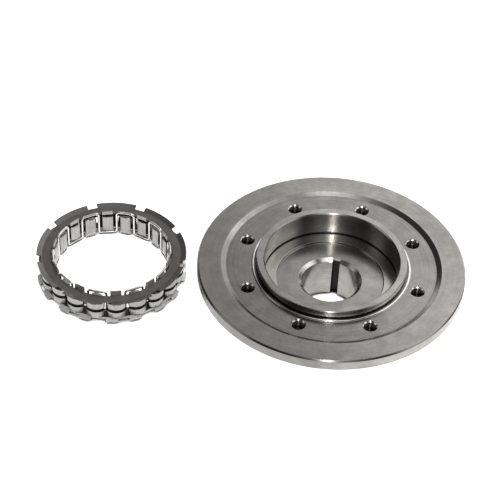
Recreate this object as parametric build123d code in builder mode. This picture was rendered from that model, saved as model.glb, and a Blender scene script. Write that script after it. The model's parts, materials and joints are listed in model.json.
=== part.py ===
"""Sprag one-way clutch set: a flanged hub with its inner race, and the caged sprag ring beside it.

Millimetres, +Z up.  The origin is on the hub's bore axis at the bottom face of its inner race, which
is the surface that both pieces stand on.
"""
from build123d import *
from math import atan2, cos, degrees, radians, sin, sqrt, tan
import os

# ---------------------------------------------------------------- flanged hub
BORE_D = 22.0              # shaft bore
BORE_CHAMFER_WIDE = 1.4    # lead-in at the top of the bore, measured across
BORE_CHAMFER_DEEP = 1.2
KEY_WIDTH = 3.0            # keyway for a 3 mm key
KEY_DEPTH = 1.5            # below the bore wall
KEY_ANGLE = 76.5           # direction of the keyway from +X

RACE_D = 44.45             # ground inner race that the sprags run on
RACE_LENGTH = 15.0
RACE_LEAD = 1.0            # lead chamfer at the free end of the race
RACE_RELIEF = 0.4          # grinding relief where the race meets the boss

BOSS_WALL = 4.0            # wall of the boss round the bearing seat
BOSS_EDGE = 0.8
RIM_WIDE = 9.2             # flat rim outside the sunk cover face
DISC_THICK = 5.0
DISC_BOTTOM = 21.6         # height of the flange's underside
RIM_CHAMFER = 0.6
FACE_RECESS = 1.0          # cover face, sunk below the rim
FACE_MARGIN = 5.7          # flat cover face outside the screw circle
FACE_STEP = 1.9            # width of the slope up to the rim

COLLAR_WALL = 3.1          # collar round the bearing seat, the spigot that centres a cover
COLLAR_RISE = 3.6          # above the cover face
COLLAR_EDGE = 0.3
GROOVE_WIDE = 0.7          # relief groove at the foot of the collar
GROOVE_DEEP = 0.2          # below the cover face
SHOULDER_WIDE = 0.9        # rounded bead outside the relief groove
SHOULDER_RISE = 0.5

SEAT_D = 52.0              # bearing seat
SEAT_SHELF = 18.9          # height of the shelf
SEAT_EDGE = 0.5
SEAT_RELIEF_WIDE = 0.7
SEAT_RELIEF_DEEP = 0.5
SHELF_WIDE = 5.0           # shelf that the bearing stands on
FLOOR_DROP = 0.8           # turned floor inside the shelf

SCREW_COUNT = 8            # tapped M5 holes
SCREW_MARGIN = 5.9         # from the collar to the middle of a screw
SCREW_DRILL = 4.2
SCREW_SINK = 5.7
SCREW_ANGLE = 24.3

# ---------------------------------------------------------------- sprag ring
RING_X = -86.8             # axis of the ring, which lies beside the hub
RING_Y = 17.64

WAVE_COUNT = 10            # waves of the bent wire, with two sprags in each
SPRAG_ANGLE = 99.3         # direction of the first sprag
SPRAG_LENGTH = 7.0
TRACK_CLEAR = 0.055        # from the inner race to the sprags at rest
SPRAG_SPAN = 6.82          # from the toe to the head
TOE_WIDE = 4.5
TOE_CAM = 4.6              # cam radius on the inner race
HEAD_WIDE = 7.7
HEAD_CAM = 4.7             # cam radius on the outer race
CAM_OFFSET = 0.4           # sideways distance between the two cam centres
WAIST_WIDE = 3.2
TOE_LONG = 2.2             # from the toe to the waist
WAIST_LONG = 0.7
WING_THICK = 0.7           # edge of the head's wings

SHEET = 0.45               # thickness of the side rings
SHEET_CLEAR = 0.25         # between a side ring and the ends of the sprags
WEB_INSET = 2.02           # from the toes to the inner edge of the flat web
WEB_WIDE = 3.4             # flat web, inside the flared tabs
TAB_REACH = 2.1            # outwards, along the radius
TAB_RISE = 0.85            # away from the sprags
TAB_COUNT = 9
UPPER_TAB_ANGLE = 91.1
UPPER_TAB_GAP = 8.0        # degrees between two tabs
UPPER_TAB_ROOT = 0.3       # flare that runs on between two tabs
LOWER_TAB_ANGLE = 284.5
LOWER_TAB_GAP = 12.0
LOWER_TAB_ROOT = 0.8
SLOT_WIDE = 4.4            # slot in each lower tab
SLOT_START = 1.0           # from the bend of the tab
SLOT_LONG = 0.75           # along the radius
LUG_WIDE = 4.4             # inner lug by every second sprag, bent up away from it
LUG_REACH = 1.2            # inwards from the web
LUG_RISE = 1.7             # above the web
LUG_BEND = 0.3             # inside radius of the lug's bend

WIRE = 1.0                 # wire of the serpentine spacer
WIRE_INSET = 1.12          # from the toes to the middle of the wire
WIRE_RISE = 1.0            # from the outside of a web to the middle of the wire's bars
WIRE_BEND = 1.2            # radius of the wire's bends, at the middle of the wire

GARTER_WIRE = 0.9          # outside diameter of the coiled spring
GARTER_SINK = 0.5          # from the head down to the middle of the garter spring
GARTER_DIP = 1.0           # from the crests of its waves down to the troughs between the heads
GARTER_CLEAR = 0.35        # from the spring to its groove in the heads

os.makedirs("parts", exist_ok=True)

# ---------------------------------------------------------------- derived places
FACE_Z = DISC_BOTTOM + DISC_THICK - FACE_RECESS
RIM_Z = DISC_BOTTOM + DISC_THICK
COLLAR_Z = FACE_Z + COLLAR_RISE
FLOOR_Z = SEAT_SHELF - FLOOR_DROP
bore_r = BORE_D / 2
race_r = RACE_D / 2
seat_r = SEAT_D / 2
floor_r = seat_r - SHELF_WIDE
boss_r = seat_r + BOSS_WALL
collar_r = seat_r + COLLAR_WALL
screw_r = collar_r + SCREW_MARGIN
face_r = screw_r + FACE_MARGIN
disc_r = face_r + FACE_STEP + RIM_WIDE
toe_r = race_r + TRACK_CLEAR
head_r = toe_r + SPRAG_SPAN
side_in_r = toe_r + WEB_INSET
side_flat_r = side_in_r + WEB_WIDE
tab_tip_r = side_flat_r + TAB_REACH
lug_in_r = side_in_r - LUG_REACH
wire_r = toe_r + WIRE_INSET
garter_crest_r = head_r - GARTER_SINK
MID_Z = SPRAG_LENGTH / 2 + SHEET_CLEAR + SHEET + LUG_RISE
web_top = 2 * MID_Z - LUG_RISE
wire_high = web_top + WIRE_RISE
wire_low = 2 * MID_Z - wire_high
SPRAG_COUNT = 2 * WAVE_COUNT
PITCH = 360 / SPRAG_COUNT
RING = Plane(origin=(RING_X, RING_Y, 0))


def save(piece, name):
    """Label a finished piece and write it as its own STEP file."""
    piece.label = name
    export_step(piece, f"parts/{name}.step")


def on_circle(radius, angle):
    """A point at a radius and a direction in degrees."""
    return (radius * cos(radians(angle)), radius * sin(radians(angle)))


# ---------------------------------------------------------------- flange_hub
with BuildPart() as flange_hub:
    with BuildSketch(Plane.XZ) as turned:
        with BuildLine():
            bead_in = collar_r + GROOVE_WIDE
            bead_out = bead_in + SHOULDER_WIDE
            Polyline(
                (bore_r, 0),
                (race_r - RACE_LEAD, 0),
                (race_r, RACE_LEAD),
                (race_r, RACE_LENGTH - 2 * RACE_RELIEF),
                (race_r - RACE_RELIEF, RACE_LENGTH - RACE_RELIEF),
                (race_r - RACE_RELIEF, RACE_LENGTH),
                (boss_r - BOSS_EDGE, RACE_LENGTH),
                (boss_r, RACE_LENGTH + BOSS_EDGE),
                (boss_r, DISC_BOTTOM),
                (disc_r - RIM_CHAMFER, DISC_BOTTOM),
                (disc_r, DISC_BOTTOM + RIM_CHAMFER),
                (disc_r, RIM_Z - RIM_CHAMFER),
                (disc_r - RIM_CHAMFER, RIM_Z),
                (face_r + FACE_STEP, RIM_Z),
                (face_r, FACE_Z),
                (bead_out, FACE_Z),
            )
            ThreePointArc(
                (bead_out, FACE_Z),
                ((bead_in + bead_out) / 2, FACE_Z + SHOULDER_RISE),
                (bead_in, FACE_Z + SHOULDER_RISE / 2),
            )
            Polyline(
                (bead_in, FACE_Z + SHOULDER_RISE / 2),
                (bead_in, FACE_Z - GROOVE_DEEP),
                (collar_r, FACE_Z - GROOVE_DEEP),
                (collar_r, COLLAR_Z - COLLAR_EDGE),
                (collar_r - COLLAR_EDGE, COLLAR_Z),
                (seat_r + SEAT_EDGE, COLLAR_Z),
                (seat_r, COLLAR_Z - SEAT_EDGE),
                (seat_r, SEAT_SHELF + SEAT_RELIEF_WIDE),
                (seat_r + SEAT_RELIEF_DEEP, SEAT_SHELF + SEAT_RELIEF_WIDE),
                (seat_r + SEAT_RELIEF_DEEP, SEAT_SHELF),
                (floor_r, SEAT_SHELF),
                (floor_r, FLOOR_Z),
                (bore_r + BORE_CHAMFER_WIDE, FLOOR_Z),
                (bore_r, FLOOR_Z - BORE_CHAMFER_DEEP),
                (bore_r, 0),
            )
        make_face()
    revolve(axis=Axis.Z)
    with BuildSketch(Plane.XY) as keyway:
        with Locations((0, 0)):
            Rectangle(
                bore_r + KEY_DEPTH, KEY_WIDTH, rotation=KEY_ANGLE, align=(Align.MIN, Align.CENTER)
            )
    extrude(amount=FLOOR_Z, mode=Mode.SUBTRACT)
    with Locations(Plane.XY.offset(FACE_Z)):
        with PolarLocations(screw_r, SCREW_COUNT, start_angle=SCREW_ANGLE):
            CounterSinkHole(SCREW_DRILL / 2, SCREW_SINK / 2, depth=FACE_Z - DISC_BOTTOM)
save(flange_hub.part, "flange_hub")


# ---------------------------------------------------------------- side rings
with BuildPart() as lug:
    # a tang that leaves the web's inner edge and turns up, away from the sprags
    with BuildSketch(Plane.XZ) as tang:
        with BuildLine():
            lug_root = side_in_r + SHEET
            Polyline(
                (lug_root, web_top),
                (lug_in_r + SHEET, web_top),
                (lug_in_r + SHEET, web_top + LUG_RISE),
                (lug_in_r, web_top + LUG_RISE),
                (lug_in_r, web_top - SHEET),
                (lug_root, web_top - SHEET),
                close=True,
            )
        make_face()
        fillet(tang.vertices().sort_by_distance((lug_in_r + SHEET, web_top))[0], LUG_BEND)
        fillet(tang.vertices().sort_by_distance((lug_in_r, web_top - SHEET))[0], LUG_BEND + SHEET)
    extrude(amount=LUG_WIDE / 2, both=True)


def side_ring(name, tab_angle, tab_gap, tab_root, first_lug, slotted, flip):
    """A stamped ring: flat web, tabs that flare away from the sprags, bent lugs inside."""
    flare = atan2(TAB_RISE, TAB_REACH)
    under_bend = side_flat_r + SHEET * tan(flare / 2)
    with BuildPart() as ring:
        with BuildSketch(Plane.XZ):
            with BuildLine():
                Polyline(
                    (side_in_r, web_top),
                    (side_flat_r, web_top),
                    (tab_tip_r, web_top + TAB_RISE),
                    (tab_tip_r + SHEET * sin(flare), web_top + TAB_RISE - SHEET * cos(flare)),
                    (under_bend, web_top - SHEET),
                    (side_in_r, web_top - SHEET),
                    close=True,
                )
            make_face()
        revolve(axis=Axis.Z)
        with BuildSketch(Plane.XY.offset(web_top - 2 * SHEET)):
            edge_in = side_flat_r + tab_root
            edge_out = tab_tip_r + 2 * SHEET
            for index in range(TAB_COUNT):
                gap = tab_angle + (index + 0.5) * 360 / TAB_COUNT
                with BuildLine():
                    Polyline(
                        on_circle(edge_in, gap - tab_gap / 2),
                        on_circle(edge_out, gap - tab_gap / 2),
                        on_circle(edge_out, gap + tab_gap / 2),
                        on_circle(edge_in, gap + tab_gap / 2),
                        close=True,
                    )
                make_face()
        extrude(amount=TAB_RISE + 3 * SHEET, mode=Mode.SUBTRACT)
        if slotted:
            slot_mid = side_flat_r + SLOT_START + SLOT_LONG / 2
            with BuildSketch(Plane.XY.offset(web_top - 2 * SHEET)):
                with PolarLocations(slot_mid, TAB_COUNT, start_angle=tab_angle):
                    Rectangle(SLOT_LONG, SLOT_WIDE)
            extrude(amount=TAB_RISE + 3 * SHEET, mode=Mode.SUBTRACT)
        with PolarLocations(0, WAVE_COUNT, start_angle=first_lug):
            add(lug.part)
    with BuildPart() as placed:
        with Locations((RING_X, RING_Y, 0)):
            if flip:
                add(mirror(ring.part, about=Plane.XY.offset(MID_Z), mode=Mode.PRIVATE))
            else:
                add(ring.part)
    save(placed.part, name)


side_ring(
    "upper_side_ring", UPPER_TAB_ANGLE, UPPER_TAB_GAP, UPPER_TAB_ROOT, SPRAG_ANGLE, False, False
)
side_ring(
    "lower_side_ring", LOWER_TAB_ANGLE, LOWER_TAB_GAP, LOWER_TAB_ROOT, SPRAG_ANGLE - PITCH, True, True
)

# ---------------------------------------------------------------- serpentine_spacer
# The wire runs under the first sprag, up beside it, over the next one and down again.  Its bars are
# arcs about the ring's axis: they touch that circle halfway between each leg and the bar's middle.
wire_corner_r = wire_r / cos(radians(PITCH / 4))
corners = []
bends = []
for index in range(SPRAG_COUNT):
    bar_z, next_z = (wire_low, wire_high) if index % 2 == 0 else (wire_high, wire_low)
    bar_angle = SPRAG_ANGLE + index * PITCH
    corners.append((*on_circle(wire_corner_r, bar_angle), bar_z))
    corners.append((*on_circle(wire_corner_r, bar_angle + PITCH / 2), bar_z))
    corners.append((*on_circle(wire_corner_r, bar_angle + PITCH / 2), next_z))
    bends += [wire_r, WIRE_BEND, WIRE_BEND]

with BuildPart() as serpentine_spacer:
    with BuildLine(Plane(origin=(RING_X, RING_Y, 0))) as wire:
        FilletPolyline(*corners, radius=bends, close=True)
    with BuildSketch(Plane(origin=wire.line @ 0, z_dir=wire.line % 0)):
        RegularPolygon(WIRE / 2, 8)
    sweep(path=wire.line)
save(serpentine_spacer.part, "serpentine_spacer")

# ---------------------------------------------------------------- garter_spring
# Arcs over the heads, about the same centres as the heads' cams, joined by hollow arcs between them.
garter_arc = HEAD_CAM - GARTER_SINK
garter_centre = garter_crest_r - garter_arc
trough_r = garter_crest_r - GARTER_DIP
level = garter_centre * cos(radians(PITCH / 2))
hollow_arc = (trough_r**2 - 2 * trough_r * level + garter_centre**2 - garter_arc**2) / (
    2 * (garter_arc - trough_r + level)
)
hollow_centre = trough_r + hollow_arc
hollow_x, hollow_y = on_circle(hollow_centre, PITCH / 2)
crest_half = degrees(atan2(hollow_y, hollow_x - garter_centre))
with BuildPart() as garter_spring:
    with BuildLine(RING.offset(MID_Z)) as wave:
        for index in range(SPRAG_COUNT):
            crest = SPRAG_ANGLE + index * PITCH
            CenterArc(on_circle(garter_centre, crest), garter_arc, crest - crest_half, 2 * crest_half)
            CenterArc(
                on_circle(hollow_centre, crest + PITCH / 2),
                hollow_arc,
                crest + crest_half + 180,
                PITCH - 2 * crest_half,
            )
    with BuildSketch(Plane(origin=wave.line @ 0, z_dir=wave.line % 0)):
        RegularPolygon(GARTER_WIRE / 2, 8)
    sweep(path=wave.line)
save(garter_spring.part, "garter_spring")

# ---------------------------------------------------------------- sprags
toe_centre = (toe_r + TOE_CAM, -CAM_OFFSET)
head_centre = (head_r - HEAD_CAM, 0)


def cam_point(centre, cam, side, outward):
    """Where a cam circle crosses a line at a sideways distance from the sprag's middle."""
    return (centre[0] + outward * sqrt(cam**2 - (side - centre[1]) ** 2), side)


with BuildPart() as sprag:
    with BuildSketch(Plane.XY.offset(MID_Z - SPRAG_LENGTH / 2)) as section:
        with BuildLine():
            toe_left = cam_point(toe_centre, TOE_CAM, TOE_WIDE / 2, -1)
            toe_right = cam_point(toe_centre, TOE_CAM, -TOE_WIDE / 2, -1)
            head_left = cam_point(head_centre, HEAD_CAM, HEAD_WIDE / 2, 1)
            head_right = cam_point(head_centre, HEAD_CAM, -HEAD_WIDE / 2, 1)
            wing_r = min(head_left[0], head_right[0]) - WING_THICK
            waist_start = toe_r + TOE_LONG
            waist_end = waist_start + WAIST_LONG
            ThreePointArc(toe_left, (toe_r, toe_centre[1]), toe_right)
            ThreePointArc(head_left, (head_r, head_centre[1]), head_right)
            Polyline(
                toe_left,
                (waist_start, WAIST_WIDE / 2),
                (waist_end, WAIST_WIDE / 2),
                (wing_r, HEAD_WIDE / 2),
                head_left,
            )
            Polyline(
                toe_right,
                (waist_start, -WAIST_WIDE / 2),
                (waist_end, -WAIST_WIDE / 2),
                (wing_r, -HEAD_WIDE / 2),
                head_right,
            )
        make_face()
    extrude(amount=SPRAG_LENGTH)
    groove_wide = GARTER_WIRE + 2 * GARTER_CLEAR
    with BuildSketch(Plane.XY.offset(MID_Z - groove_wide / 2)):
        with Locations((head_r, 0)):
            Rectangle(HEAD_WIDE * 2, HEAD_WIDE * 2)
        with Locations((garter_centre, 0)):
            Circle(garter_arc - GARTER_WIRE / 2 - GARTER_CLEAR, mode=Mode.SUBTRACT)
    extrude(amount=groove_wide, mode=Mode.SUBTRACT)

for index in range(SPRAG_COUNT):
    with BuildPart() as placed_sprag:
        with Locations(Location((RING_X, RING_Y, 0), (0, 0, SPRAG_ANGLE - index * PITCH))):
            add(sprag.part)
    save(placed_sprag.part, f"sprag_{index + 1:02d}")
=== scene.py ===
"""Sprag clutch set: the looks of a flanged hub and of the caged sprag ring that stands beside it."""

import json
from collections import namedtuple
from math import asin, atan2, cos, pi, radians, sin, sqrt, tan

import bpy
from bpy.props import FloatProperty, FloatVectorProperty, IntProperty, PointerProperty
from mathutils import Matrix, Vector


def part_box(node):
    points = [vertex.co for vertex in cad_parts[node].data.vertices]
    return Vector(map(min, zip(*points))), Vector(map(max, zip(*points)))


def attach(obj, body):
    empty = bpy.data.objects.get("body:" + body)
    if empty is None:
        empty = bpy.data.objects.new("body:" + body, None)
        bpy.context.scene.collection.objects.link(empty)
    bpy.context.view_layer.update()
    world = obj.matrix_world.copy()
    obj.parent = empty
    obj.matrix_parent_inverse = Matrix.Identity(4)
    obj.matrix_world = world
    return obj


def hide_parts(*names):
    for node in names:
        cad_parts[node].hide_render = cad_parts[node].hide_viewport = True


bl_info = {
    "name": "Sprag Clutch Set",
    "version": (1, 0, 0),
    "blender": (4, 5, 0),
    "location": "View3D > Sidebar > Clutch",
    "description": "Models and finishes a flanged hub and its caged sprag ring",
    "category": "Add Mesh",
}

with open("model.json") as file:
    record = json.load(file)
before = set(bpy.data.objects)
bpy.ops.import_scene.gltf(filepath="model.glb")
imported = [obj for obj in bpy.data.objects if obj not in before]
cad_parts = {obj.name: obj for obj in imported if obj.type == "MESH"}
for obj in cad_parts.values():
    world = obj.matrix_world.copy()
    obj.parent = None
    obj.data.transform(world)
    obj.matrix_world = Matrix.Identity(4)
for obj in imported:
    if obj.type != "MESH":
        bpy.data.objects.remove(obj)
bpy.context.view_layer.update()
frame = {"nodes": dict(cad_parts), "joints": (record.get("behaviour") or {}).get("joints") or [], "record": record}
MM = 0.001
TURN = 2 * pi

MOUNTS = {mount["name"]: mount for mount in frame["record"]["mounts"]}
HOLES = MOUNTS["cover_holes"]["dims"]
HUB_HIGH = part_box("flange_hub")[1]
RING_LOW, RING_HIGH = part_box("lower_side_ring")[0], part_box("upper_side_ring")[1]
RING_AXIS = Vector(MOUNTS["ring_inner_track"]["pos_m"])
RING_AXIS.z = 0.0
MID_HEIGHT = MOUNTS["ring_inner_track"]["pos_m"][2]
SPRAG_NAMES = sorted(name for name in frame["nodes"] if name.startswith("sprag_"))
ROCK_JOINTS = {joint["child"]: joint for joint in frame["joints"] if joint["type"] == "hinge"}

# A soft light in the sky: its direction from +X, elevation and spread in degrees, and its strength.
Glow = namedtuple("Glow", "way rise spread strength")
# A part of a surface between two radii and two heights, and what its base colour is multiplied by there to paint
# light or shade.
Zone = namedtuple("Zone", "near far low high change")

SKY_GLOWS = (
    Glow(0, 90, 180, 0.05),  # everywhere
    Glow(80, 38, 34, 0.46),  # the flat faces mirror it
    Glow(52, 26, 40, 1.2),  # slope up to the rim, left
    Glow(20, 50, 30, 1.2),  # wall of the bearing seat, left
    Glow(90, 85, 24, 0.9),  # the same slope, far side
    Glow(280, 66, 26, 1.5),  # chamfers, far side
    Glow(90, 0, 15, 1.6),  # flared tabs, near side
    Glow(188, 24, 22, 0.8),  # edges that face left
    Glow(114, 8, 14, 1.2),  # slope up to the rim, near right
    Glow(350, 32, 26, 0.9),  # rim chamfer, near right
)
SIDE_SHADE_WAY = radians(205.0)  # where the painted shade on the hub is darkest
SIDE_SHADE_DIRECTION = (cos(SIDE_SHADE_WAY), sin(SIDE_SHADE_WAY), 0.0)
SIDE_SHADE_START, SIDE_SHADE_END = -10 * MM, 40 * MM

HUB_STEPS = 256  # faces round the hub
RING_STEPS = 360
HOLE_STEPS = 48
THREAD_STEPS = 32
BAR_STEPS = 6  # pieces of line in half a bar of the wire, and in each of its bends
GARTER_TURNS, COIL_STEPS = 640, 9
SUPPORT = 0.05 * MM  # from a rounded corner to its support points
MERGE = 0.002 * MM
FINE_MERGE = 0.0005 * MM
THREAD_DEEP = 0.25 * MM
THREAD_SHADE = 0.4  # dark inside the tapped holes


def mount_radius(name):
    """The radius of a round mount, in metres."""
    return MOUNTS[name]["dims"]["r_mm"] * MM


def sprag_direction(name):
    """The direction from the ring's axis to a sprag's pivot, in radians."""
    pivot = Vector(ROCK_JOINTS[name]["pos_m"]) - RING_AXIS
    return atan2(pivot.y, pivot.x)


# ---- properties


def length(name, default, description):
    """A length, as a property: the default is given in millimetres and stored in metres."""
    return FloatProperty(
        name=name, description=description, default=default * MM, min=0.0, precision=5, unit="LENGTH"
    )


def angle(name, default, description):
    """An angle, as a property: the default is given in degrees and stored in radians."""
    return FloatProperty(name=name, description=description, default=radians(default), unit="ROTATION")


def colour(name, default, description):
    """A linear colour, as a property."""
    return FloatVectorProperty(
        name=name, description=description, default=default, size=4, min=0.0, max=1.0, subtype="COLOR"
    )


class HubSizes(bpy.types.PropertyGroup):
    """Sizes of the flanged hub."""

    bore_lead: length("Bore lead-in", 1.4, "Width of the chamfer above the bore")
    bore_lead_deep: length("Bore lead-in depth", 1.2, "Depth of that chamfer")
    key_wide: length("Keyway width", 3.0, "Width of the keyway")
    key_deep: length("Keyway depth", 1.5, "Into the bore's wall")
    key_angle: angle("Keyway direction", 76.5, "From +X")
    race_long: length("Race length", 15.0, "Ground inner race")
    race_lead: length("Race lead", 1.0, "Chamfer at the foot of the race")
    race_relief: length("Race relief", 0.4, "Grinding relief at the top of the race")
    boss_wall: length("Boss wall", 4.0, "Round the bearing seat")
    boss_edge: length("Boss edge", 0.8, "Chamfer at the foot of the boss")
    disc_bottom: length("Flange underside", 21.6, "Its height")
    disc_thick: length("Flange thickness", 5.0, "At the rim")
    rim_chamfer: length("Rim chamfer", 0.6, "On both edges of the rim")
    face_recess: length("Cover face recess", 1.0, "How far the cover face is sunk")
    face_margin: length("Cover face margin", 5.7, "Cover face outside the screw circle")
    face_step: length("Cover face slope", 1.9, "Width of the slope up to the rim")
    collar_edge: length("Collar edge", 0.3, "Outer edge of the collar")
    groove_wide: length("Groove width", 0.7, "Relief groove at the foot of the collar")
    groove_deep: length("Groove depth", 0.2, "Depth of the groove below the cover face")
    bead_wide: length("Bead width", 0.9, "Rounded bead outside the groove")
    bead_rise: length("Bead height", 0.5, "Height of the bead above the cover face")
    seat_edge: length("Seat edge", 0.5, "Chamfer at the mouth of the bearing seat")
    seat_shelf: length("Shelf height", 18.9, "Of the shelf the bearing stands on")
    seat_relief: length("Seat relief", 0.7, "Relief groove above the shelf")
    seat_relief_deep: length("Seat relief depth", 0.5, "Depth of that groove")
    shelf_wide: length("Shelf width", 5.0, "Width of the shelf")
    floor_drop: length("Floor drop", 0.8, "Step from the shelf down to the turned floor")
    screw_angle: angle("First screw", 24.3, "First tapped hole, from +X")
    screw_sink: length("Countersink", 5.7, "Diameter at the cover face")
    screw_floor: length("Screw floor", 0.7, "Left under the tapped holes")
    thread_pitch: length("Thread pitch", 0.8, "Pitch of the tapped holes")


class RingSizes(bpy.types.PropertyGroup):
    """Sizes of the sprag ring."""

    sheet: length("Sheet", 0.45, "Thickness of the side rings")
    web_inset: length("Web inset", 2.02, "From the sprags' toes to the web's inner edge")
    web_wide: length("Web width", 3.4, "Flat web of a side ring")
    tab_reach: length("Tab reach", 2.1, "Tabs, outwards")
    tab_rise: length("Tab rise", 0.85, "Tabs, away from the sprags")
    tab_count: IntProperty(name="Tabs", description="Tabs on each side ring", default=9, min=3)
    upper_angle: angle("Upper tabs", 91.1, "Direction of a tab of the upper ring")
    upper_gap: angle("Upper gap", 8.0, "Gap between two tabs of the upper ring")
    upper_root: length("Upper root", 0.3, "Flare between two of its tabs")
    lower_angle: angle("Lower tabs", 284.5, "Direction of a tab of the lower ring")
    lower_gap: angle("Lower gap", 12.0, "Gap between two tabs of the lower ring")
    lower_root: length("Lower root", 0.8, "Flare between two of its tabs")
    slot_wide: length("Slot width", 4.4, "Slot in each lower tab")
    slot_start: length("Slot start", 0.85, "From the tab's bend to its slot")
    slot_long: length("Slot length", 1.05, "Slot, along the radius")
    lug_wide: length("Lug width", 4.4, "Bent lug by every second sprag")
    lug_reach: length("Lug reach", 1.2, "Lug, inwards from the web")
    lug_rise: length("Lug rise", 1.7, "Lug, above the web")
    lug_bend: length("Lug bend", 0.3, "Inside radius of the lug's bend")
    wire: length("Wire", 1.0, "Wire of the serpentine spacer")
    wire_inset: length("Wire inset", 1.12, "From the sprags' toes to the middle of the wire")
    wire_rise: length("Wire rise", 1.0, "From a web's outside to the wire's bars")
    wire_bend: length("Wire bend", 1.2, "Radius of the wire's bends, at its middle")
    sprag_long: length("Sprag length", 7.0, "Length of a sprag")
    sprag_span: length("Sprag span", 6.82, "From a sprag's toe to its head")
    track_clear: length("Track clearance", 0.055, "From the inner race to the sprags")
    toe_wide: length("Toe width", 4.5, "Width of a sprag's toe")
    toe_cam: length("Toe cam", 4.6, "Radius of the cam on the inner race")
    toe_long: length("Toe length", 2.2, "From the toe to the waist")
    waist_wide: length("Waist width", 3.2, "Width of a sprag's waist")
    waist_long: length("Waist length", 0.7, "Length of a sprag's waist")
    head_wide: length("Head width", 7.7, "Width of a sprag's head")
    head_cam: length("Head cam", 4.7, "Radius of the cam on the outer race")
    wing_thick: length("Wing thickness", 0.7, "Edge of the head's wings")
    cam_offset: length("Cam offset", 0.4, "Sideways, between the cam centres")
    garter_sink: length("Garter depth", 0.5, "From the heads to the middle of the garter spring")
    garter_dip: length("Garter dip", 1.0, "From the spring's crests down to its troughs")
    garter_wide: length("Garter diameter", 0.9, "Outside diameter of the coil")
    garter_clear: length("Garter clearance", 0.35, "From the garter spring to its groove")
    garter_wire: length("Garter wire", 0.2, "Wire of the garter spring")


class Finishes(bpy.types.PropertyGroup):
    """Colours of the finishes."""

    turned: colour("Turned steel", (0.36, 0.35, 0.33, 1.0), "Hub")
    phosphate: colour("Phosphated sheet", (0.15, 0.145, 0.141, 1.0), "Upper side ring")
    # painted light: the lower ring has the phosphated finish of the upper one, painted much lighter
    lit_phosphate: colour("Worn sheet", (0.86, 0.85, 0.84, 1.0), "Lower side ring")
    ground: colour("Ground steel", (0.36, 0.352, 0.345, 1.0), "Sprags")
    bright: colour("Bright wire", (0.72, 0.71, 0.69, 1.0), "Serpentine spacer")
    black: colour("Blackened wire", (0.02, 0.02, 0.02, 1.0), "Garter spring")
    floor: colour("Floor", (0.92, 0.92, 0.92, 1.0), "Floor")


class StageSizes(bpy.types.PropertyGroup):
    """Where the camera stands."""

    aim_x: FloatProperty(name="Aim X", description="Aim on the floor", default=-31.6 * MM, unit="LENGTH")
    aim_y: FloatProperty(name="Aim Y", description="Aim on the floor", default=34.2 * MM, unit="LENGTH")
    far: length("Distance", 698.5, "From the camera to its aim")
    elevation: angle("Elevation", 42.86, "Height of the camera over the floor")
    roll: angle("Roll", 2.66, "Turn of the camera about its own axis")
    lens: FloatProperty(name="Lens", description="Focal length in millimetres", default=122.4, unit="CAMERA")


# ---- modelling tools


def deselect():
    """Back to object mode with nothing selected."""
    if bpy.context.object and bpy.context.object.mode != "OBJECT":
        bpy.ops.object.mode_set(mode="OBJECT")
    bpy.ops.object.select_all(action="DESELECT")


def activate(piece):
    """Select one object only."""
    deselect()
    piece.select_set(True)
    bpy.context.view_layer.objects.active = piece


def edit_all():
    """Edit the active object, with all of its mesh selected."""
    bpy.ops.object.mode_set(mode="EDIT")
    bpy.ops.mesh.select_all(action="SELECT")


def settle(piece):
    """Put an object's place into its mesh."""
    activate(piece)
    bpy.ops.object.transform_apply(location=True, rotation=True, scale=True)
    return piece


def trace(name, points):
    """An open line through the points, drawn by extruding one vertex from each point to the next."""
    deselect()
    bpy.ops.mesh.primitive_plane_add(size=MM, location=points[0])
    piece = settle(bpy.context.object)
    piece.name = piece.data.name = name
    edit_all()
    bpy.ops.mesh.merge(type="CENTER")
    for here, there in zip(points, points[1:]):
        step = Vector(there) - Vector(here)
        bpy.ops.mesh.extrude_vertices_move(TRANSFORM_OT_translate={"value": step})
    bpy.ops.object.mode_set(mode="OBJECT")
    return piece


def clean(piece, reach=MERGE):
    """Merge doubles and point all faces outwards."""
    activate(piece)
    edit_all()
    bpy.ops.mesh.remove_doubles(threshold=reach)
    bpy.ops.mesh.normals_make_consistent(inside=False)
    bpy.ops.object.mode_set(mode="OBJECT")
    return piece


def turn(name, outline, steps, centre=(0.0, 0.0, 0.0)):
    """A turned solid: a closed outline of (radius, height) points, spun about a vertical axis."""
    points = [(centre[0] + r, centre[1], z) for r, z in outline + outline[:1]]
    piece = trace(name, points)
    edit_all()
    bpy.ops.mesh.spin(steps=steps, angle=TURN, center=centre, axis=(0.0, 0.0, 1.0))
    return clean(piece)


def extruded(name, outline, step):
    """A solid: a closed flat outline of points, drawn out along a step."""
    piece = trace(name, outline)
    edit_all()
    bpy.ops.mesh.edge_face_add()
    bpy.ops.mesh.extrude_region_move(TRANSFORM_OT_translate={"value": step})
    return clean(piece)


def prism(name, outline, low, high):
    """An upright solid with a closed outline of (x, y) points."""
    return extruded(name, [(x, y, low) for x, y in outline], (0.0, 0.0, high - low))


def block(name, centre, size, direction=0.0):
    """A block turned about Z."""
    deselect()
    bpy.ops.mesh.primitive_cube_add(size=1.0, location=centre, rotation=(0.0, 0.0, direction))
    piece = bpy.context.object
    piece.name = piece.data.name = name
    piece.scale = size
    return settle(piece)


def finish_with(piece, kind, **settings):
    """Add a modifier and apply it."""
    activate(piece)
    modifier = piece.modifiers.new(kind.title(), kind)
    for key, value in settings.items():
        setattr(modifier, key, value)
    bpy.ops.object.modifier_apply(modifier=modifier.name)
    return piece


def soften(piece, width, segments, limit):
    """Bevel the edges that are sharper than a limit in degrees."""
    settings = {"limit_method": "ANGLE", "angle_limit": radians(limit)}
    return finish_with(piece, "BEVEL", width=width, segments=segments, **settings)


def combine(piece, tools, operation="DIFFERENCE"):
    """Cut the tools out of a piece, or fuse them to it."""
    tool = join(tools)
    finish_with(piece, "BOOLEAN", operation=operation, solver="EXACT", object=tool)
    bpy.data.objects.remove(tool)


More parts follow.
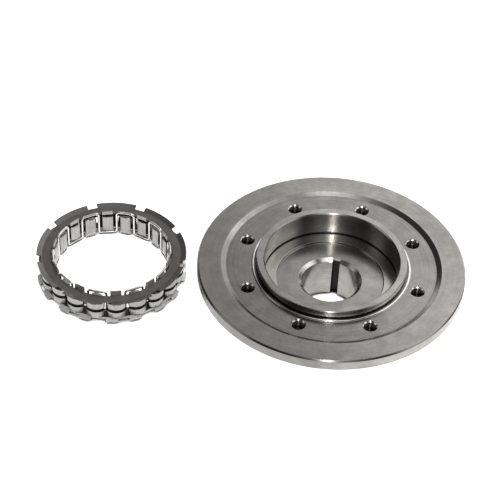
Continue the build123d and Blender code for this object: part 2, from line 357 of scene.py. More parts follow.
def join(pieces):
    """Join several objects into the first."""
    deselect()
    for piece in pieces:
        piece.select_set(True)
    bpy.context.view_layer.objects.active = pieces[0]
    if len(pieces) > 1:
        bpy.ops.object.join()
    return pieces[0]


def copy_turned(piece, name, direction, centre):
    """A copy with its own mesh, turned about a vertical axis."""
    activate(piece)
    bpy.ops.object.duplicate(linked=False)
    twin = bpy.context.object
    twin.name = twin.data.name = name
    about = Matrix.Translation(centre) @ Matrix.Rotation(direction, 4, "Z")
    twin.matrix_world = about @ Matrix.Translation(-Vector(centre)) @ twin.matrix_world
    return settle(twin)


def wire_loop(name, points, thickness, resolution):
    """A closed round wire along a line of points."""
    line = bpy.data.curves.new(name, "CURVE")
    line.dimensions = "3D"
    line.bevel_depth = thickness / 2
    line.bevel_resolution = resolution
    spline = line.splines.new("POLY")
    spline.points.add(len(points) - 1)
    spline.use_cyclic_u = True
    for point, place in zip(spline.points, points):
        point.co = (*place, 1.0)
    wire = bpy.data.objects.new(name, line)
    bpy.context.scene.collection.objects.link(wire)
    activate(wire)
    bpy.ops.object.convert(target="MESH")
    wire = clean(bpy.context.object, FINE_MERGE)
    bpy.ops.object.shade_smooth()
    return wire


def rounded(corners, segments=3, support=0.0):
    """Points of an outline whose (x, y, radius) corners are rounded, with a support point beside each arc."""
    points = []
    count = len(corners)
    for index, (x, y, radius) in enumerate(corners):
        here = Vector((x, y))
        before = Vector(corners[index - 1][:2])
        after = Vector(corners[(index + 1) % count][:2])
        back, ahead = (before - here), (after - here)
        reach_back, reach_ahead = back.length, ahead.length
        back.normalize()
        ahead.normalize()
        opening = back.angle(ahead)
        if radius <= 0.0 or opening > pi - 0.01:
            points.append((x, y))
            continue
        tangent = min(radius / tan(opening / 2), 0.45 * reach_back, 0.45 * reach_ahead)
        radius = tangent * tan(opening / 2)
        middle = here + (back + ahead).normalized() * (radius / sin(opening / 2))
        start, end = here + back * tangent, here + ahead * tangent
        if support and reach_back > 4 * (tangent + support):
            points.append(tuple(start + back * support))
        sweep = (start - middle).angle_signed(end - middle)
        for step in range(segments + 1):
            share = Matrix.Rotation(-sweep * step / segments, 2)
            points.append(tuple(middle + share @ (start - middle)))
        if support and reach_ahead > 4 * (tangent + support):
            points.append(tuple(end + ahead * support))
    return points


def smooth(piece, limit=28.0):
    """Smooth shading, with edges sharper than the limit kept sharp."""
    activate(piece)
    bpy.ops.object.shade_smooth_by_angle(angle=radians(limit))
    return piece


def dress(piece, material, body, slot_name, *nodes):
    """Give a piece its one material and its body, and hide the CAD nodes that it stands for; its slot name is not
    used.
    """
    piece.data.materials.clear()
    piece.data.materials.append(material)
    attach(piece, body)
    if nodes:
        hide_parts(*nodes)


# ---- materials


class Graph:
    """A short way to build a node tree."""

    def __init__(self, owner):
        owner.use_nodes = True
        self.nodes = owner.node_tree.nodes
        self.links = owner.node_tree.links

    def feed(self, node, **inputs):
        """Give a node's inputs values or other nodes' outputs; _ stands for a space in an input's name."""
        for key, value in inputs.items():
            self.fill(node.inputs[key.replace("_", " ")], value)
        return node

    def fill(self, socket, value):
        """Give one socket a value, or another node's output."""
        if isinstance(value, bpy.types.NodeSocket):
            self.links.new(value, socket)
        else:
            socket.default_value = value

    def add(self, kind, **inputs):
        """Add a node and feed its inputs."""
        return self.feed(self.nodes.new(kind), **inputs)

    def math(self, operation, *values, kind="ShaderNodeMath"):
        """A math node fed with values in turn."""
        node = self.nodes.new(kind)
        node.operation = operation
        for socket, value in zip(node.inputs, values):
            self.fill(socket, value)
        return node.outputs["Value" if operation in ("LENGTH", "DOT_PRODUCT") else 0]

    def vector(self, operation, *values):
        """A vector math node fed with values in turn."""
        return self.math(operation, *values, kind="ShaderNodeVectorMath")


class Shader(Graph):
    """A material with a single surface."""

    def __init__(self, name):
        self.material = bpy.data.materials.new(name)
        super().__init__(self.material)
        self.surface = self.nodes["Principled BSDF"]

    def finish(self, **inputs):
        """Feed the surface and return the material."""
        self.feed(self.surface, **inputs)
        return self.material

    def place(self, centre=(0.0, 0.0, 0.0)):
        """Object coordinates counted from a centre."""
        return self.vector("SUBTRACT", self.add("ShaderNodeTexCoord").outputs["Object"], centre)

    def polar(self, centre):
        """Two vectors about a vertical axis: (radius, height, 0), and the unit direction round it."""
        parts = self.add("ShaderNodeSeparateXYZ", Vector=self.place(centre)).outputs
        flat = self.add("ShaderNodeCombineXYZ", X=parts["X"], Y=parts["Y"]).outputs[0]
        lines = self.add("ShaderNodeCombineXYZ", X=self.vector("LENGTH", flat), Y=parts["Z"])
        around = self.vector("CROSS_PRODUCT", (0.0, 0.0, 1.0), flat)
        return lines.outputs[0], self.vector("NORMALIZE", around)

    def noise(self, vector, scale, detail=2.0, roughness=0.5):
        """A noise value from 0 to 1."""
        node = self.add(
            "ShaderNodeTexNoise", Vector=vector, Scale=scale, Detail=detail, Roughness=roughness
        )
        return node.outputs["Fac"]

    def span(self, value, low, high, from_low=0.3, from_high=0.7):
        """Map a value onto another range: a noise value lies mostly between 0.3 and 0.7."""
        node = self.add(
            "ShaderNodeMapRange", Value=value, From_Min=from_low, From_Max=from_high, To_Min=low, To_Max=high
        )
        return node.outputs["Result"]

    def tint(self, base, value):
        """A base colour times a value."""
        node = self.nodes.new("ShaderNodeVectorMath")
        node.operation = "SCALE"
        self.fill(node.inputs[0], base[:3])
        return self.feed(node, Scale=value).outputs[0]

    def product(self, one, other):
        """Two values multiplied."""
        return self.math("MULTIPLY", one, other)

    def open_air(self, reach, low, high):
        """How open the surroundings are: 0 where less than low of them is, 1 where more than high is."""
        node = self.add("ShaderNodeAmbientOcclusion", Distance=reach)
        node.samples = 8
        return self.span(node.outputs["AO"], 0.0, 1.0, low, high)

    def between(self, value, low, high, edge=0.05 * MM):
        """1 where a value lies between two limits, and 0 elsewhere."""
        rise = self.span(value, 0.0, 1.0, low - edge, low)
        fall = self.span(value, 1.0, 0.0, high, high + edge)
        return self.product(rise, fall)

    def zoned(self, shade, lines, zones):
        """A shade changed in some zones of the vector (radius, height, 0): painted light or shade."""
        parts = self.add("ShaderNodeSeparateXYZ", Vector=lines).outputs
        for zone in zones:
            across = self.between(parts["X"], zone.near, zone.far)
            inside = self.product(across, self.between(parts["Y"], zone.low, zone.high))
            shade = self.product(shade, self.span(inside, 1.0, zone.change, 0.0, 1.0))
        return shade

    def bump(self, height, strength, distance):
        """A surface's normal, from a height."""
        node = self.add("ShaderNodeBump", Height=height, Strength=strength, Distance=distance)
        return node.outputs["Normal"]


def turned_steel(name, base, roughness, anisotropy, zones=(), side_shade=1.0):
    """Steel off the lathe: fine rings, stretched highlights, stains, painted shade in its recesses, painted light
    and shade in zones, and painted shade on one side.
    """
    shader = Shader(name)
    lines, around = shader.polar((0.0, 0.0, 0.0))
    rings = shader.noise(lines, scale=2600.0, detail=3.0, roughness=0.6)
    stains = shader.noise(shader.place(), scale=150.0, detail=6.0, roughness=0.65)
    clouds = shader.noise(shader.place(), scale=28.0)
    open_air = shader.open_air(1.6 * MM, low=0.25, high=0.8)
    side = shader.vector("DOT_PRODUCT", shader.place(), SIDE_SHADE_DIRECTION)
    shade = shader.product(shader.span(rings, 0.9, 1.08), shader.span(stains, 0.82, 1.16))
    shade = shader.product(shade, shader.span(clouds, 0.92, 1.08))
    # painted shade: the colour darkens down to 0.12 where the surroundings close in
    shade = shader.product(shade, shader.span(open_air, 0.12, 1.0, 0.0, 1.0))
    # painted shade: the colour darkens towards one side of the hub
    shade = shader.product(shade, shader.span(side, 1.0, side_shade, SIDE_SHADE_START, SIDE_SHADE_END))
    return shader.finish(
        Base_Color=shader.tint(base, shader.zoned(shade, lines, zones)),
        Metallic=1.0,
        Roughness=shader.span(stains, roughness * 1.15, roughness * 0.85),
        Anisotropic=anisotropy,
        Anisotropic_Rotation=0.25,
        Tangent=around,
        Normal=shader.bump(rings, strength=0.25, distance=0.01 * MM),
    )


def plain_metal(name, base, roughness, metallic, grain, depth, pocket, streak=(1.0, 1.0, 1.0), zones=()):
    """Metal with a fine grain of some depth, stretched by a streak along each axis, and painted shade in its
    pockets.
    """
    shader = Shader(name)
    place = shader.place(RING_AXIS)
    fine = shader.noise(shader.vector("MULTIPLY", place, streak), scale=grain, detail=3.0, roughness=0.6)
    broad = shader.noise(place, scale=220.0)
    open_air = shader.open_air(pocket, low=0.15, high=0.6)
    shade = shader.product(shader.span(fine, 0.86, 1.12), shader.span(broad, 0.88, 1.1))
    # painted shade: the colour darkens down to 0.06 where the surroundings close in
    shade = shader.product(shade, shader.span(open_air, 0.06, 1.0, 0.0, 1.0))
    return shader.finish(
        Base_Color=shader.tint(base, shader.zoned(shade, shader.polar(RING_AXIS)[0], zones)),
        Metallic=metallic,
        Roughness=shader.span(fine, roughness * 1.1, roughness * 0.9),
        Normal=shader.bump(fine, strength=0.3, distance=depth),
    )


# ---- hub


def face_height(sizes):
    """Height of the cover face."""
    return sizes.disc_bottom + sizes.disc_thick - sizes.face_recess


def face_edge_radius(sizes):
    """Radius at which the cover face ends."""
    return HOLES["pcd_mm"] * MM / 2 + sizes.face_margin


def screw_depth(sizes):
    """Depth of the tapped holes below the cover face."""
    return sizes.disc_thick - sizes.face_recess - sizes.screw_floor


def drill_radius():
    """Radius at the roots of the threads."""
    return HOLES["hole_r_mm"] * MM + THREAD_DEEP


def hub_outline(sizes):
    """The hub's turned outline, as (radius, height, rounding) corners in metres."""
    bore = mount_radius("shaft_bore")
    race = mount_radius("inner_race")
    seat = mount_radius("bearing_seat")
    collar = mount_radius("cover_spigot")
    disc = HUB_HIGH.x
    boss = seat + sizes.boss_wall
    rim_top = sizes.disc_bottom + sizes.disc_thick
    face = face_height(sizes)
    face_edge = face_edge_radius(sizes)
    bead_in = collar + sizes.groove_wide
    bead_out = bead_in + sizes.bead_wide
    shelf = sizes.seat_shelf
    relief = shelf + sizes.seat_relief
    floor_edge = seat - sizes.shelf_wide
    floor = shelf - sizes.floor_drop
    fine, soft = 0.08 * MM, 0.18 * MM
    return [
        (bore, 0.0, fine),
        (race - sizes.race_lead, 0.0, fine),
        (race, sizes.race_lead, fine),
        (race, sizes.race_long - 2 * sizes.race_relief, fine),
        (race - sizes.race_relief, sizes.race_long - sizes.race_relief, fine),
        (race - sizes.race_relief, sizes.race_long, soft),
        (boss - sizes.boss_edge, sizes.race_long, fine),
        (boss, sizes.race_long + sizes.boss_edge, fine),
        (boss, sizes.disc_bottom, 0.5 * MM),
        (disc - sizes.rim_chamfer, sizes.disc_bottom, soft),
        (disc, sizes.disc_bottom + sizes.rim_chamfer, soft),
        (disc, rim_top - sizes.rim_chamfer, soft),
        (disc - sizes.rim_chamfer, rim_top, soft),
        (face_edge + sizes.face_step, rim_top, soft),
        (face_edge, face, 0.4 * MM),
        (bead_out, face, 0.12 * MM),
        (bead_out - 0.15 * MM, face + sizes.bead_rise, 0.3 * MM),
        (bead_in, face + 0.8 * sizes.bead_rise, 0.12 * MM),
        (bead_in, face - sizes.groove_deep, fine),
        (collar, face - sizes.groove_deep, soft),
        (collar, HUB_HIGH.z - sizes.collar_edge, fine),
        (collar - sizes.collar_edge, HUB_HIGH.z, fine),
        (seat + sizes.seat_edge, HUB_HIGH.z, fine),
        (seat, HUB_HIGH.z - sizes.seat_edge, fine),
        (seat, relief, fine),
        (seat + sizes.seat_relief_deep, relief, fine),
        (seat + sizes.seat_relief_deep, shelf, soft),
        (floor_edge, shelf, fine),
        (floor_edge, floor, 0.3 * MM),
        (bore + sizes.bore_lead, floor, fine),
        (bore, floor - sizes.bore_lead_deep, fine),
    ]


def screw_places(sizes):
    """The middle of each tapped hole, on the cover face."""
    radius = HOLES["pcd_mm"] * MM / 2
    for index in range(HOLES["count"]):
        way = sizes.screw_angle + TURN * index / HOLES["count"]
        yield (radius * cos(way), radius * sin(way), face_height(sizes))


def hole_tools(sizes):
    """What the countersunk holes are cut with."""
    drill, sink, depth = drill_radius(), sizes.screw_sink / 2, screw_depth(sizes)
    above = 0.5 * MM
    outline = [(0.0, -depth), (drill, -depth), (drill, drill - sink)]
    outline += [(sink, 0.0), (sink, above), (0.0, above)]
    for x, y, face in screw_places(sizes):
        yield turn("hole_tool", [(r, face + z) for r, z in outline], HOLE_STEPS, (x, y, 0.0))


def hub_zones(sizes):
    """Where painted shade darkens the hub's colour and painted highlights brighten it."""
    bore, seat = mount_radius("shaft_bore"), mount_radius("bearing_seat")
    collar, top = mount_radius("cover_spigot"), HUB_HIGH.z
    shelf, face = sizes.seat_shelf, face_height(sizes)
    lead_end = shelf - sizes.floor_drop - sizes.bore_lead_deep
    lead_out = bore + sizes.bore_lead
    bead_in = collar + sizes.groove_wide
    bead = bead_in + sizes.bead_wide
    face_in, face_out = bead + 0.2 * MM, face_edge_radius(sizes)
    near, fine = 0.1 * MM, 0.12 * MM
    sink = face - sizes.screw_sink / 2 + drill_radius()
    return (
        Zone(bore + near, bore + sizes.key_deep + near, 0.5 * MM, lead_end - near, change=0.05),  # keyway: painted shade
        Zone(seat + 0.2 * MM, collar, top - 0.6 * MM, top + MM, change=1.15),  # top of the collar: painted highlight
        Zone(lead_out, seat, shelf - near, shelf + near, change=1.6),  # shelf: painted highlight
        Zone(bead_in, bead, face - near, face + sizes.bead_rise + near, change=2.6),  # bead: painted highlight
        Zone(face_in, face_out, face - near, face + near, change=0.87),  # cover face: painted shade
        Zone(face_in, face_out, sink, face - fine, change=2.4),  # countersinks: painted highlight
        Zone(bore + near, lead_out, lead_end, lead_end + sizes.bore_lead_deep, change=2.2),  # lead-in: painted highlight
    )


class CLUTCH_OT_hub(bpy.types.Operator):
    """Turn the flanged hub, then cut its keyway and its countersunk holes"""

    bl_idname = "clutch.hub"
    bl_label = "Flanged Hub"

    def execute(self, context):
        sizes = context.scene.clutch_hub
        hub = turn("hub", rounded(hub_outline(sizes), support=SUPPORT), HUB_STEPS)
        reach = mount_radius("shaft_bore") + sizes.key_deep
        middle = (reach / 2 * cos(sizes.key_angle), reach / 2 * sin(sizes.key_angle), HUB_HIGH.z / 2)
        keyway = block("keyway_tool", middle, (reach, sizes.key_wide, 2 * HUB_HIGH.z), sizes.key_angle)
        combine(hub, [keyway, *hole_tools(sizes)])
        clean(hub)
        smooth(hub)
        steel = turned_steel(
            "turned_steel", context.scene.clutch_finishes.turned,
            roughness=0.22, anisotropy=0.6, zones=hub_zones(sizes), side_shade=0.68,
        )
        dress(hub, steel, "hub", "turned_steel", "flange_hub")
        return {"FINISHED"}


class CLUTCH_OT_threads(bpy.types.Operator):
    """Cut the threads of the tapped holes as helical ridges"""

    bl_idname = "clutch.threads"
    bl_label = "Tapped Threads"

    def execute(self, context):
        sizes = context.scene.clutch_hub
        root = drill_radius()
        minor = HOLES["hole_r_mm"] * MM
        pitch = sizes.thread_pitch
        depth = screw_depth(sizes)
        turns = int(depth / pitch) - 1
        sunk = 0.03 * MM  # of the thread's root, in the wall of the hole
        threads = []
        for index, place in enumerate(screw_places(sizes)):
            low = place[2] - depth + 0.1 * MM
            tooth = [
                (root + sunk, 0.0),
                (root, 0.06 * MM),
                (minor, 0.42 * pitch),
                (minor, 0.55 * pitch),
                (root, 0.94 * pitch),
                (root + sunk, pitch * 0.97),
            ]
            points = [(place[0] + r, place[1], low + z) for r, z in tooth]
            thread = trace(f"thread_{index + 1}", points)
            edit_all()
            bpy.ops.mesh.edge_face_add()
            bpy.ops.object.mode_set(mode="OBJECT")
            thread.location = (-place[0], -place[1], 0.0)
            settle(thread)
            finish_with(
                thread, "SCREW", screw_offset=pitch, iterations=turns, steps=THREAD_STEPS,
                render_steps=THREAD_STEPS, use_merge_vertices=True, merge_threshold=FINE_MERGE,
            )
            thread.location = (place[0], place[1], 0.0)
            threads.append(clean(settle(thread), FINE_MERGE))
        piece = smooth(join(threads), limit=40.0)
        piece.name = piece.data.name = "tapped_threads"
        shaded = [part * THREAD_SHADE for part in context.scene.clutch_finishes.turned]
        steel = turned_steel("thread_steel", shaded, roughness=0.3, anisotropy=0.0)
        dress(piece, steel, "hub", "turned_steel")
        return {"FINISHED"}


# ---- sprag ring


def toe_radius(sizes):
    """How near the sprags come to the ring's axis."""
    return mount_radius("inner_race") + sizes.track_clear


def around_axis(radius, way, z=0.0):
    """A point at a radius and a direction round the ring's axis."""
    return (RING_AXIS.x + radius * cos(way), RING_AXIS.y + radius * sin(way), z)


def bent_lug(sizes, inner, top):
    """A lug that leaves the web's inner edge and turns up, modelled along +X of the ring's axis."""
    inside = inner - sizes.lug_reach
    outside = inside + sizes.sheet
    fine, hair = 0.08 * MM, 0.01 * MM
    corners = [
        (inner + 0.5 * sizes.sheet, top - hair, 0.0),
        (outside, top - hair, sizes.lug_bend),
        (outside, top + sizes.lug_rise, fine),
        (inside, top + sizes.lug_rise, fine),
        (inside, top - sizes.sheet + hair, sizes.lug_bend + sizes.sheet),
        (inner + 0.5 * sizes.sheet, top - sizes.sheet + hair, 0.0),
    ]
    half = sizes.lug_wide / 2
    outline = [(RING_AXIS.x + r, RING_AXIS.y - half, z) for r, z in rounded(corners, 5)]
    lug = extruded("lug", outline, (0.0, 2 * half, 0.0))
    return soften(lug, width=fine, segments=2, limit=60)


def side_ring(name, sizes, tabs, first_lug, slotted):
    """A stamped side ring, modelled as the upper one: its tabs have a first direction, a gap and a root."""
    first_tab, tab_gap, tab_root = tabs
    inner = toe_radius(sizes) + sizes.web_inset
    bend = inner + sizes.web_wide
    top = RING_HIGH.z - sizes.lug_rise
    tab_top = top + sizes.tab_rise
    flare = atan2(sizes.tab_rise, sizes.tab_reach)
    tip = bend + sizes.tab_reach
    fine, soft = 0.1 * MM, 0.3 * MM
    corners = [
        (inner, top - sizes.sheet, fine),
        (bend + sizes.sheet * tan(flare / 2), top - sizes.sheet, soft + sizes.sheet),
        (tip + sizes.sheet * sin(flare), tab_top - sizes.sheet * cos(flare), fine),
        (tip, tab_top, fine),
        (bend, top, soft),
        (inner, top, fine),
    ]
    ring = turn(name, rounded(corners, support=SUPPORT), RING_STEPS, tuple(RING_AXIS))
    tools = []
    start, end = bend + tab_root, tip + 2 * sizes.sheet
    low, high = top - 2 * sizes.sheet, tab_top + sizes.sheet
    half = tab_gap / 2
    for index in range(sizes.tab_count):
        gap = first_tab + TURN * (index + 0.5) / sizes.tab_count
        outline = [around_axis(start, gap - half)[:2], around_axis(end, gap - half)[:2]]
        outline += [around_axis(end, gap + half)[:2], around_axis(start, gap + half)[:2]]
        tools.append(prism("notch_tool", outline, low, high))
        if slotted:
            way = first_tab + TURN * index / sizes.tab_count
            middle = around_axis(bend + sizes.slot_start + sizes.slot_long / 2, way, (low + high) / 2)
            size = (sizes.slot_long, sizes.slot_wide, high - low)
            tools.append(block("slot_tool", middle, size, way))
    combine(ring, tools)
    pattern = bent_lug(sizes, inner, top)
    lugs = []
    for index in range(len(SPRAG_NAMES) // 2):
        way = first_lug + 2 * TURN * index / len(SPRAG_NAMES)
        lugs.append(copy_turned(pattern, "lug", way, RING_AXIS))
    bpy.data.objects.remove(pattern)
    combine(ring, lugs, "UNION")
    return clean(ring)


class CLUTCH_OT_side_rings(bpy.types.Operator):
    """Stamp the two side rings with their flared tabs, slots and lugs"""

    bl_idname = "clutch.side_rings"
    bl_label = "Side Rings"

    def execute(self, context):
        sizes = context.scene.clutch_ring
        finishes = context.scene.clutch_finishes
        web_inside = toe_radius(sizes) + sizes.web_inset + 0.3 * MM
        web_outside = web_inside + sizes.web_wide
        web_top = RING_HIGH.z - sizes.lug_rise
        lower_web_top = RING_LOW.z + sizes.lug_rise + sizes.sheet
        # painted light: the upper ring's lugs are painted 3.2 times lighter than its web
        lugs = Zone(0.0, web_inside, web_top + 0.15 * MM, RING_HIGH.z + MM, change=3.2)
        # painted shade: the top face of the lower ring's web is painted ten times darker
        shaded_web = Zone(
            web_inside, web_outside, lower_web_top - 0.1 * MM, lower_web_top + 0.2 * MM, change=0.1
        )
        grained = {"grain": 3500.0, "depth": 0.01 * MM, "pocket": MM}
        sheet = plain_metal(
            "phosphated_sheet", finishes.phosphate, roughness=0.42, metallic=0.6, zones=(lugs,), **grained
        )
        # painted light: the lower ring's material, a lighter copy of the phosphated sheet
        lit_phosphate = plain_metal("worn_sheet", finishes.lit_phosphate, roughness=0.3, metallic=0.2, zones=(shaded_web,), **grained)
        first = sprag_direction(SPRAG_NAMES[0])
        second = sprag_direction(SPRAG_NAMES[1])
        upper_tabs = (sizes.upper_angle, sizes.upper_gap, sizes.upper_root)
        upper = smooth(side_ring("upper_ring", sizes, upper_tabs, first, False))
        dress(upper, sheet, "cage", "phosphated_sheet", "upper_side_ring")
        lower_tabs = (sizes.lower_angle, sizes.lower_gap, sizes.lower_root)
        lower = side_ring("lower_ring", sizes, lower_tabs, second, True)
        activate(lower)
        bpy.ops.transform.mirror(
            orient_type="GLOBAL", constraint_axis=(False, False, True), center_override=(0.0, 0.0, MID_HEIGHT)
        )
        smooth(clean(settle(lower)))
        dress(lower, lit_phosphate, "cage", "phosphated_sheet", "lower_side_ring")
        return {"FINISHED"}


def serpentine_points(sizes):
    """The wire's middle line: under the first sprag, up beside it, over the next one and down again."""
    radius = toe_radius(sizes) + sizes.wire_inset
    rise = RING_HIGH.z - sizes.lug_rise + sizes.wire_rise - MID_HEIGHT
    half_pitch = pi / len(SPRAG_NAMES)
    bend_way = sizes.wire_bend / radius
    reach = half_pitch - bend_way
    first = sprag_direction(SPRAG_NAMES[0])
    points = []
    for index in range(len(SPRAG_NAMES)):
        level = -1.0 if index % 2 == 0 else 1.0
        bar = first + 2 * half_pitch * index
        for step in range(-BAR_STEPS, BAR_STEPS + 1):
            points.append(around_axis(radius, bar + reach * step / BAR_STEPS, MID_HEIGHT + level * rise))
        bends = [(-1.0, step) for step in range(1, BAR_STEPS + 1)]
        bends += [(1.0, step) for step in range(BAR_STEPS, 0, -1)]
        for side, step in bends:
            turned = step * pi / (2 * BAR_STEPS)
            way = bar + half_pitch + side * bend_way * (1.0 - sin(turned))
            height = rise - sizes.wire_bend * (1.0 - cos(turned))
            points.append(around_axis(radius, way, MID_HEIGHT - side * level * height))
    return points


class CLUTCH_OT_spacer(bpy.types.Operator):
    """Bend the bright wire that weaves between the sprags"""

    bl_idname = "clutch.spacer"
    bl_label = "Serpentine Spacer"

    def execute(self, context):
        sizes = context.scene.clutch_ring
        wire = wire_loop("serpentine_wire", serpentine_points(sizes), sizes.wire, 4)
        finish = plain_metal(
            "bright_wire", context.scene.clutch_finishes.bright,
            roughness=0.25, metallic=1.0, grain=2500.0, depth=0.004 * MM, pocket=4 * MM,
        )
        dress(wire, finish, "cage", "bright_wire", "serpentine_spacer")
        return {"FINISHED"}


def garter_radius(sizes, way):
    """Radius of the garter spring's line in a direction counted from the middle of a sprag."""
    crest = toe_radius(sizes) + sizes.sprag_span - sizes.garter_sink
    arc = sizes.head_cam - sizes.garter_sink
    centre = crest - arc
    trough = crest - sizes.garter_dip
    half = pi / len(SPRAG_NAMES)
    level = centre * cos(half)
    hollow = (trough**2 - 2 * trough * level + centre**2 - arc**2) / (2 * (arc - trough + level))
    hollow_centre = trough + hollow
    way = abs((way + half) % (2 * half) - half)
    hollow_middle = Vector((hollow_centre * cos(half), hollow_centre * sin(half)))
    touch = (Vector((centre, 0.0)) * hollow + hollow_middle * arc) / (arc + hollow)
    if way < atan2(touch.y, touch.x):
        return centre * cos(way) + sqrt(arc**2 - (centre * sin(way)) ** 2)
    across = half - way
    return hollow_centre * cos(across) - sqrt(hollow**2 - (hollow_centre * sin(across)) ** 2)


class CLUTCH_OT_garter(bpy.types.Operator):
    """Wind the garter spring as one closed coil round the sprags"""

    bl_idname = "clutch.garter"
    bl_label = "Garter Spring"

    def execute(self, context):
        sizes = context.scene.clutch_ring
        first = sprag_direction(SPRAG_NAMES[0])
        coil = (sizes.garter_wide - sizes.garter_wire) / 2
        points = []
        for index in range(GARTER_TURNS * COIL_STEPS):
            way = TURN * index / (GARTER_TURNS * COIL_STEPS)
            spin = TURN * index / COIL_STEPS
            radius = garter_radius(sizes, way) + coil * cos(spin)
            points.append(around_axis(radius, first + way, MID_HEIGHT + coil * sin(spin)))
        garter = wire_loop("garter_coil", points, sizes.garter_wire, 1)
        wire = plain_metal(
            "spring_wire", context.scene.clutch_finishes.black,
            roughness=0.4, metallic=0.5, grain=3000.0, depth=0.004 * MM, pocket=MM,
        )
        dress(garter, wire, "cage", "spring_wire", "garter_spring")
        return {"FINISHED"}


def sprag_outline(sizes):
    """The sprag's section, as (radius, sideways) points counted from the ring's axis."""
    toe = toe_radius(sizes)
    head = toe + sizes.sprag_span
    toe_middle = Vector((toe + sizes.toe_cam, -sizes.cam_offset))
    head_middle = Vector((head - sizes.head_cam, 0.0))

    def cam(middle, radius, start, end, facing, steps):
        """Points of a cam from one sideways place to another."""
        ways = [asin((side - middle.y) / radius) for side in (start, end)]
        for step in range(steps + 1):
            way = ways[0] + (ways[1] - ways[0]) * step / steps
            yield (middle.x + facing * radius * cos(way), middle.y + radius * sin(way))

    toe_half, head_half, waist_half = sizes.toe_wide / 2, sizes.head_wide / 2, sizes.waist_wide / 2
    toe_line = list(cam(toe_middle, sizes.toe_cam, toe_half, -toe_half, -1, 12))
    head_line = list(cam(head_middle, sizes.head_cam, -head_half, head_half, 1, 20))
    waist_start = toe + sizes.toe_long
    waist_end = waist_start + sizes.waist_long
    wing = min(head_line[0][0], head_line[-1][0]) - sizes.wing_thick
    round_edge = 0.25 * MM
    right = [(waist_start, -waist_half, MM), (waist_end, -waist_half, MM), (wing, -head_half, 0.2 * MM)]
    left = [(x, -y, rounding) for x, y, rounding in reversed(right)]
    corners = [(x, y, 0.0) for x, y in toe_line[1:-1]] + [(*toe_line[-1], round_edge)] + right
    corners += [(*head_line[0], round_edge)] + [(x, y, 0.0) for x, y in head_line[1:-1]]
    corners += [(*head_line[-1], round_edge)] + left + [(*toe_line[0], round_edge)]
    return rounded(corners, 4)


class CLUTCH_OT_sprags(bpy.types.Operator):
    """Model one sprag and set a copy of it at each place in the ring"""

    bl_idname = "clutch.sprags"
    bl_label = "Sprags"

    def execute(self, context):
        sizes = context.scene.clutch_ring
        low, high = MID_HEIGHT - sizes.sprag_long / 2, MID_HEIGHT + sizes.sprag_long / 2
        outline = [(RING_AXIS.x + x, RING_AXIS.y + y) for x, y in sprag_outline(sizes)]
        pattern = prism("sprag_pattern", outline, low, high)
        soften(pattern, width=0.22 * MM, segments=3, limit=60)
        head = toe_radius(sizes) + sizes.sprag_span
        centre = head - sizes.head_cam
        half = sizes.garter_wide / 2 + sizes.garter_clear
        floor = sizes.head_cam - sizes.garter_sink - half
        reach = sizes.head_wide
        sweep = [radians(way) for way in range(-60, 61, 5)]
        arc = [(centre + floor * cos(way), floor * sin(way)) for way in sweep]
        outside = head + reach
        groove = arc + [(arc[-1][0], reach), (outside, reach), (outside, -reach), (arc[0][0], -reach)]
        groove = [(RING_AXIS.x + x, RING_AXIS.y + y) for x, y in groove]
        tool = prism("groove_tool", groove, MID_HEIGHT - half, MID_HEIGHT + half)
        combine(pattern, [tool])
        soften(pattern, width=0.07 * MM, segments=2, limit=50)
        smooth(clean(pattern, 2 * FINE_MERGE))
        steel = plain_metal(
            "ground_steel", context.scene.clutch_finishes.ground, roughness=0.28, metallic=1.0,
            grain=1800.0, depth=0.006 * MM, pocket=4 * MM, streak=(1.0, 1.0, 0.12),
        )
        for name in SPRAG_NAMES:
            sprag = copy_turned(pattern, "cam_" + name, sprag_direction(name), RING_AXIS)
            dress(sprag, steel, name, "ground_steel", name)
        bpy.data.objects.remove(pattern)
        return {"FINISHED"}


# ---- stage


def soft_lamp(name, place, aim, size, power):
    """A rectangular lamp that points at a place."""
    deselect()
    bpy.ops.object.light_add(type="AREA", location=place)
    lamp = bpy.context.object
    lamp.name = name
    lamp.data.shape = "RECTANGLE"
    lamp.data.size, lamp.data.size_y = size
    lamp.data.energy = power
    lamp.rotation_euler = (Vector(aim) - Vector(place)).to_track_quat("-Z", "Y").to_euler()


def floor_paper(base):
    """Pale paper, white to the camera and in mirrors but for a painted shadow close under the object."""
    paper = Shader("floor_paper")
    # painted shadow: colour and glow darken where the paper is closed in under the object
    open_air = paper.open_air(2.5 * MM, low=0.5, high=0.75)
    fibres = paper.span(paper.noise(paper.place(), scale=40.0), 0.995, 1.0)
    rays = paper.add("ShaderNodeLightPath").outputs
    seen = paper.math("MAXIMUM", rays["Is Camera Ray"], rays["Is Transmission Ray"])
    glow = paper.math("MULTIPLY_ADD", rays["Is Glossy Ray"], 0.9, seen)
    return paper.finish(
        Base_Color=paper.tint(base, paper.product(fibres, open_air)),
        Roughness=0.9,
        Specular_IOR_Level=0.1,
        Emission_Color=(1.0, 1.0, 1.0, 1.0),
        Emission_Strength=paper.product(glow, open_air),
    )


def build_sky(context):
    """A dim studio with soft glows in several directions, white where the camera sees it."""
    world = bpy.data.worlds.new("sky")
    context.scene.world = world
    sky = Graph(world)
    where = sky.add("ShaderNodeTexCoord").outputs["Generated"]
    total = sky.add("ShaderNodeLightPath").outputs["Is Camera Ray"]
    for glow in SKY_GLOWS:
        way, rise = radians(glow.way), radians(glow.rise)
        towards = (cos(rise) * cos(way), cos(rise) * sin(way), sin(rise))
        facing = sky.vector("DOT_PRODUCT", where, towards)
        ramp = sky.add(
            "ShaderNodeMapRange", Value=facing, From_Min=cos(radians(glow.spread)), To_Max=glow.strength
        )
        ramp.interpolation_type = "SMOOTHSTEP"
        total = sky.math("ADD", total, ramp.outputs["Result"])
    sky.feed(sky.nodes["Background"], Color=(1.0, 1.0, 1.0, 1.0), Strength=total)


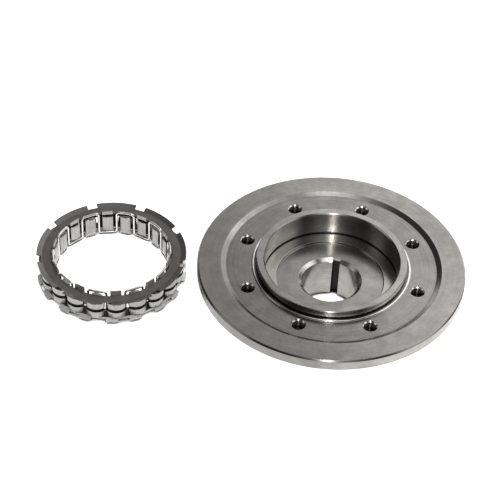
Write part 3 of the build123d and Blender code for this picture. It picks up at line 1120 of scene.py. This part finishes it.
class CLUTCH_OT_stage(bpy.types.Operator):
    """Set up the floor, the lamps, the sky and the camera"""

    bl_idname = "clutch.stage"
    bl_label = "Stage"

    def execute(self, context):
        stage = context.scene.clutch_stage
        deselect()
        bpy.ops.mesh.primitive_plane_add(size=6.0, location=(0.0, 0.0, -0.02 * MM))
        floor = context.object
        floor.name = "floor"
        floor.data.materials.append(floor_paper(context.scene.clutch_finishes.floor))

        aim = Vector((stage.aim_x, stage.aim_y, 0.0))
        ahead = Vector((0.0, cos(stage.elevation), -sin(stage.elevation)))
        up = Vector((0.0, sin(stage.elevation), cos(stage.elevation)))
        right = Vector((1.0, 0.0, 0.0))
        tilted_right = right * cos(stage.roll) + up * sin(stage.roll)
        tilted_up = up * cos(stage.roll) - right * sin(stage.roll)
        axes = Matrix((tilted_right, tilted_up, -ahead)).transposed().to_4x4()
        camera = bpy.data.objects.new("camera", bpy.data.cameras.new("camera"))
        context.scene.collection.objects.link(camera)
        camera.matrix_world = Matrix.Translation(aim - ahead * stage.far) @ axes
        camera.data.lens = stage.lens
        camera.data.sensor_width = 36.0
        camera.data.clip_start = 0.01
        context.scene.camera = camera

        middle = (0.0, 0.0, 0.02)
        soft_lamp("back_lamp", (0.15, 0.75, 0.65), middle, size=(0.6, 0.4), power=0.12)
        soft_lamp("front_strip", (0.0, -0.75, 0.66), middle, size=(0.05, 0.6), power=1.7)
        build_sky(context)
        context.scene.view_settings.view_transform = "Standard"
        return {"FINISHED"}


# ---- panel and registration

PIECES = (
    CLUTCH_OT_stage,
    CLUTCH_OT_hub,
    CLUTCH_OT_threads,
    CLUTCH_OT_side_rings,
    CLUTCH_OT_spacer,
    CLUTCH_OT_garter,
    CLUTCH_OT_sprags,
)
GROUPS = {
    "clutch_hub": HubSizes,
    "clutch_ring": RingSizes,
    "clutch_finishes": Finishes,
    "clutch_stage": StageSizes,
}


class CLUTCH_PT_panel(bpy.types.Panel):
    """Lists the operators and the sizes"""

    bl_idname = "CLUTCH_PT_panel"
    bl_label = "Sprag Clutch Set"
    bl_space_type = "VIEW_3D"
    bl_region_type = "UI"
    bl_category = "Clutch"

    def draw(self, context):
        for piece in PIECES:
            self.layout.operator(piece.bl_idname)
        for group in GROUPS:
            values = getattr(context.scene, group)
            box = self.layout.box()
            for key in values.__annotations__:
                box.prop(values, key)


def register():
    """Register the classes and hang the property groups on the scene."""
    for group in GROUPS.values():
        bpy.utils.register_class(group)
    for piece in PIECES + (CLUTCH_PT_panel,):
        bpy.utils.register_class(piece)
    for name, group in GROUPS.items():
        setattr(bpy.types.Scene, name, PointerProperty(type=group))


def unregister():
    """Undo what register did."""
    for name in GROUPS:
        delattr(bpy.types.Scene, name)
    for piece in (CLUTCH_PT_panel,) + PIECES[::-1]:
        bpy.utils.unregister_class(piece)
    for group in GROUPS.values():
        bpy.utils.unregister_class(group)


def main():
    """Make the whole scene."""
    register()
    for piece in PIECES:
        family, name = piece.bl_idname.split(".")
        getattr(getattr(bpy.ops, family), name)()
    deselect()


if __name__ == "__main__":
    main()
